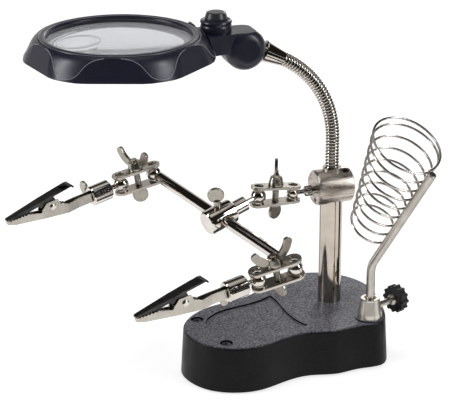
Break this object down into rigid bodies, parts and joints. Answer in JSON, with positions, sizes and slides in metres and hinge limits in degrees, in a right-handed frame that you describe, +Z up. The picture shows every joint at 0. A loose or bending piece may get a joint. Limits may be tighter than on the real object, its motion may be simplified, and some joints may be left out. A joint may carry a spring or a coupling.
{
  "type": "helping hands stand with magnifier",
  "caption": "Weighted base with a post carrying a gooseneck magnifier, a cross rod of ball-jointed spring clips, and a tilted wire coil that holds a hot iron.",
  "frame": {"origin": "on the resting plane under the base, on the axis of the upright post", "axes": "+Z up, -X along the base towards its round front lobe and under the magnifier, +X towards the wide rear lobe"},
  "size_m": [0.2303, 0.2021, 0.2344],
  "materials": {
    "black_shell": "fine grained",
    "knob_black": "moulded",
    "gloss_black": "glossy",
    "button_grey": "satin",
    "rubber": "matt",
    "chrome": "polished",
    "nickel": "satin nickel",
    "ballast": "rough cast",
    "screw_steel": "zinc",
    "battery_case": "printed sleeve",
    "lens_glass": "clear",
    "led_board": "board with clear lamps"
  },
  "bodies": {
    "base": {"base_shell": "black_shell", "base_cover": "black_shell", "rubber_pad": "rubber", "battery_door": "black_shell", "batteries": "battery_case", "ballast_plate": "ballast", "base_screws": "screw_steel", "post_tube": "chrome", "iron_socket": "chrome"},
    "drum": {"drum_clamp": "nickel", "drum_set_screw": "knob_black"},
    "drum_stud": {"drum_ball_stud": "chrome"},
    "middle_pair": {"middle_upper_plate": "nickel", "middle_lower_plate": "nickel", "middle_screw": "nickel"},
    "middle_nut": {"middle_wing_nut": "nickel"},
    "clamp_stud": {"clamp_ball_stud": "chrome"},
    "cross_clamp": {"cross_clamp": "nickel"},
    "clamp_thumbscrew": {"clamp_thumbscrew": "nickel"},
    "cross_rod": {"cross_rod": "chrome"},
    "neck_lower": {"gooseneck_lower": "chrome"},
    "neck_upper": {"gooseneck_upper": "chrome", "neck_ferrule": "chrome"},
    "head": {"neck_upper_shell": "gloss_black", "neck_lower_shell": "gloss_black", "knuckle_pivot": "button_grey", "lens_ring": "gloss_black", "lens_skirt": "gloss_black", "main_lens": "lens_glass", "led_strip": "led_board", "switch_collar": "gloss_black"},
    "switch_button": {"switch_button": "button_grey"},
    "holder": {"holder_rod": "chrome", "holder_coil": "chrome"},
    "knob": {"knob_screw": "chrome", "knob": "knob_black"},
    "front_rod_stud": {"front_rod_stud": "chrome"},
    "front_pair": {"front_upper_plate": "nickel", "front_lower_plate": "nickel", "front_screw": "nickel"},
    "front_nut": {"front_wing_nut": "nickel"},
    "front_clip_stud": {"front_clip_ball_stud": "chrome"},
    "front_clip": {"front_clip_barrel": "nickel", "front_clip_lower_jaw": "nickel", "front_clip_pivot_pin": "nickel", "front_clip_spring": "nickel"},
    "front_clip_upper_jaw": {"front_clip_upper_jaw": "nickel"},
    "front_clip_thumbscrew": {"front_clip_thumbscrew": "nickel"},
    "back_rod_stud": {"back_rod_stud": "chrome"},
    "back_pair": {"back_upper_plate": "nickel", "back_lower_plate": "nickel", "back_screw": "nickel"},
    "back_nut": {"back_wing_nut": "nickel"},
    "back_clip_stud": {"back_clip_ball_stud": "chrome"},
    "back_clip": {"back_clip_barrel": "nickel", "back_clip_lower_jaw": "nickel", "back_clip_pivot_pin": "nickel", "back_clip_spring": "nickel"},
    "back_clip_upper_jaw": {"back_clip_upper_jaw": "nickel"},
    "back_clip_thumbscrew": {"back_clip_thumbscrew": "nickel"}
  },
  "joints": [
    {"name": "drum_turn", "type": "hinge", "parent": "base", "child": "drum", "pos_m": [0, 0, 0.1112], "axis": [0, 0, 1], "range_deg": [-60, 15]},
    {"name": "drum_stud_roll", "type": "hinge", "parent": "drum", "child": "drum_stud", "pos_m": [-0.02668, 0.00665, 0.1098], "axis": [0.9703, -0.2419, 0], "range_deg": [-8, 8]},
    {"name": "middle_pair_swing", "type": "hinge", "parent": "drum_stud", "child": "middle_pair", "pos_m": [-0.02668, 0.00665, 0.1098], "axis": [0.0336, -0.0094, 0.9994], "range_deg": [-12, 12]},
    {"name": "middle_nut_spin", "type": "hinge", "parent": "middle_pair", "child": "middle_nut", "pos_m": [-0.03799, 0.00981, 0.11021], "axis": [0.0336, -0.0094, 0.9994], "continuous": true},
    {"name": "clamp_stud_swing", "type": "hinge", "parent": "middle_pair", "child": "clamp_stud", "pos_m": [-0.0493, 0.01297, 0.11062], "axis": [0.0336, -0.0094, 0.9994], "range_deg": [-12, 12]},
    {"name": "cross_clamp_roll", "type": "hinge", "parent": "clamp_stud", "child": "cross_clamp", "pos_m": [-0.0797, 0.01297, 0.10276], "axis": [0.9681, 0, 0.2504], "range_deg": [-8, 8]},
    {"name": "clamp_thumbscrew_spin", "type": "hinge", "parent": "cross_clamp", "child": "clamp_thumbscrew", "pos_m": [-0.0797, 0.01297, 0.10276], "axis": [-0.2486, -0.1201, 0.9611], "continuous": true},
    {"name": "cross_rod_slide", "type": "slide", "parent": "cross_clamp", "child": "cross_rod", "axis": [0.0301, -0.9928, -0.1163], "range_m": [-0.03, 0.03]},
    {"name": "front_rod_stud_roll", "type": "hinge", "parent": "cross_rod", "child": "front_rod_stud", "pos_m": [-0.07738, -0.06367, 0.09378], "axis": [0.0301, -0.9928, -0.1163], "range_deg": [-12, 12]},
    {"name": "front_pair_swing", "type": "hinge", "parent": "front_rod_stud", "child": "front_pair", "pos_m": [-0.07738, -0.06367, 0.09378], "axis": [-0.2902, -0.0837, 0.9533], "range_deg": [-12, 12]},
    {"name": "front_nut_spin", "type": "hinge", "parent": "front_pair", "child": "front_nut", "pos_m": [-0.08795, -0.0594, 0.09094], "axis": [-0.2902, -0.0837, 0.9533], "continuous": true},
    {"name": "front_clip_stud_swing", "type": "hinge", "parent": "front_pair", "child": "front_clip_stud", "pos_m": [-0.09852, -0.05513, 0.08809], "axis": [-0.2902, -0.0837, 0.9533], "range_deg": [-12, 12]},
    {"name": "front_clip_roll", "type": "hinge", "parent": "front_clip_stud", "child": "front_clip", "pos_m": [-0.09852, -0.05513, 0.08809], "axis": [-0.9887, 0.0553, -0.1392], "range_deg": [-60, 60]},
    {"name": "front_clip_jaw_open", "type": "hinge", "parent": "front_clip", "child": "front_clip_upper_jaw", "pos_m": [-0.15115, -0.05219, 0.08594], "axis": [0.0558, 0.9984, 0], "range_deg": [0, 18], "stiffness_Nm_per_rad": 0.15, "springref_deg": -17.19},
    {"name": "front_clip_thumbscrew_spin", "type": "hinge", "parent": "front_clip", "child": "front_clip_thumbscrew", "pos_m": [-0.1183, -0.05402, 0.08531], "axis": [0.1321, 0.7599, -0.6365], "continuous": true},
    {"name": "back_rod_stud_roll", "type": "hinge", "parent": "cross_rod", "child": "back_rod_stud", "pos_m": [-0.08193, 0.08643, 0.11137], "axis": [0.0301, -0.9928, -0.1163], "range_deg": [-12, 12]},
    {"name": "back_pair_swing", "type": "hinge", "parent": "back_rod_stud", "child": "back_pair", "pos_m": [-0.08193, 0.08643, 0.11137], "axis": [-0.1704, 0.0333, 0.9848], "range_deg": [-12, 12]},
    {"name": "back_nut_spin", "type": "hinge", "parent": "back_pair", "child": "back_nut", "pos_m": [-0.0933, 0.08856, 0.10933], "axis": [-0.1704, 0.0333, 0.9848], "continuous": true},
    {"name": "back_clip_stud_swing", "type": "hinge", "parent": "back_pair", "child": "back_clip_stud", "pos_m": [-0.10468, 0.09069, 0.10728], "axis": [-0.1704, 0.0333, 0.9848], "range_deg": [-12, 12]},
    {"name": "back_clip_roll", "type": "hinge", "parent": "back_clip_stud", "child": "back_clip", "pos_m": [-0.10468, 0.09069, 0.10728], "axis": [-0.9835, 0.0275, -0.1788], "range_deg": [-60, 60]},
    {"name": "back_clip_jaw_open", "type": "hinge", "parent": "back_clip", "child": "back_clip_upper_jaw", "pos_m": [-0.15724, 0.09216, 0.10301], "axis": [0.0279, 0.9996, 0], "range_deg": [0, 18], "stiffness_Nm_per_rad": 0.15, "springref_deg": -17.19},
    {"name": "back_clip_thumbscrew_spin", "type": "hinge", "parent": "back_clip", "child": "back_clip_thumbscrew", "pos_m": [-0.12435, 0.09124, 0.10371], "axis": [0.0279, 0.9996, 0], "continuous": true},
    {"name": "neck_turn", "type": "hinge", "parent": "drum", "child": "neck_lower", "pos_m": [0, 0, 0.1212], "axis": [0, 0, 1], "range_deg": [-30, 30]},
    {"name": "neck_bend", "type": "hinge", "parent": "neck_lower", "child": "neck_upper", "pos_m": [0, 0, 0.144], "axis": [0.2756, 0.9613, 0], "range_deg": [-6, 12]},
    {"name": "head_tilt", "type": "hinge", "parent": "neck_upper", "child": "head", "pos_m": [-0.05847, 0.01677, 0.21285], "axis": [0.2756, 0.9613, 0], "range_deg": [-8, 25]},
    {"name": "button_press", "type": "slide", "parent": "head", "child": "switch_button", "axis": [0, 0, -1], "range_m": [0, 0.0015], "stiffness_N_per_m": 300, "springref_m": -0.001},
    {"name": "holder_turn", "type": "hinge", "parent": "base", "child": "holder", "pos_m": [0.003, -0.039, 0.031], "axis": [0, 0, 1], "range_deg": [-5, 60]},
    {"name": "knob_spin", "type": "hinge", "parent": "base", "child": "knob", "pos_m": [0.003, -0.039, 0.0376], "axis": [0.9945, 0.1045, 0], "continuous": true}
  ]
}
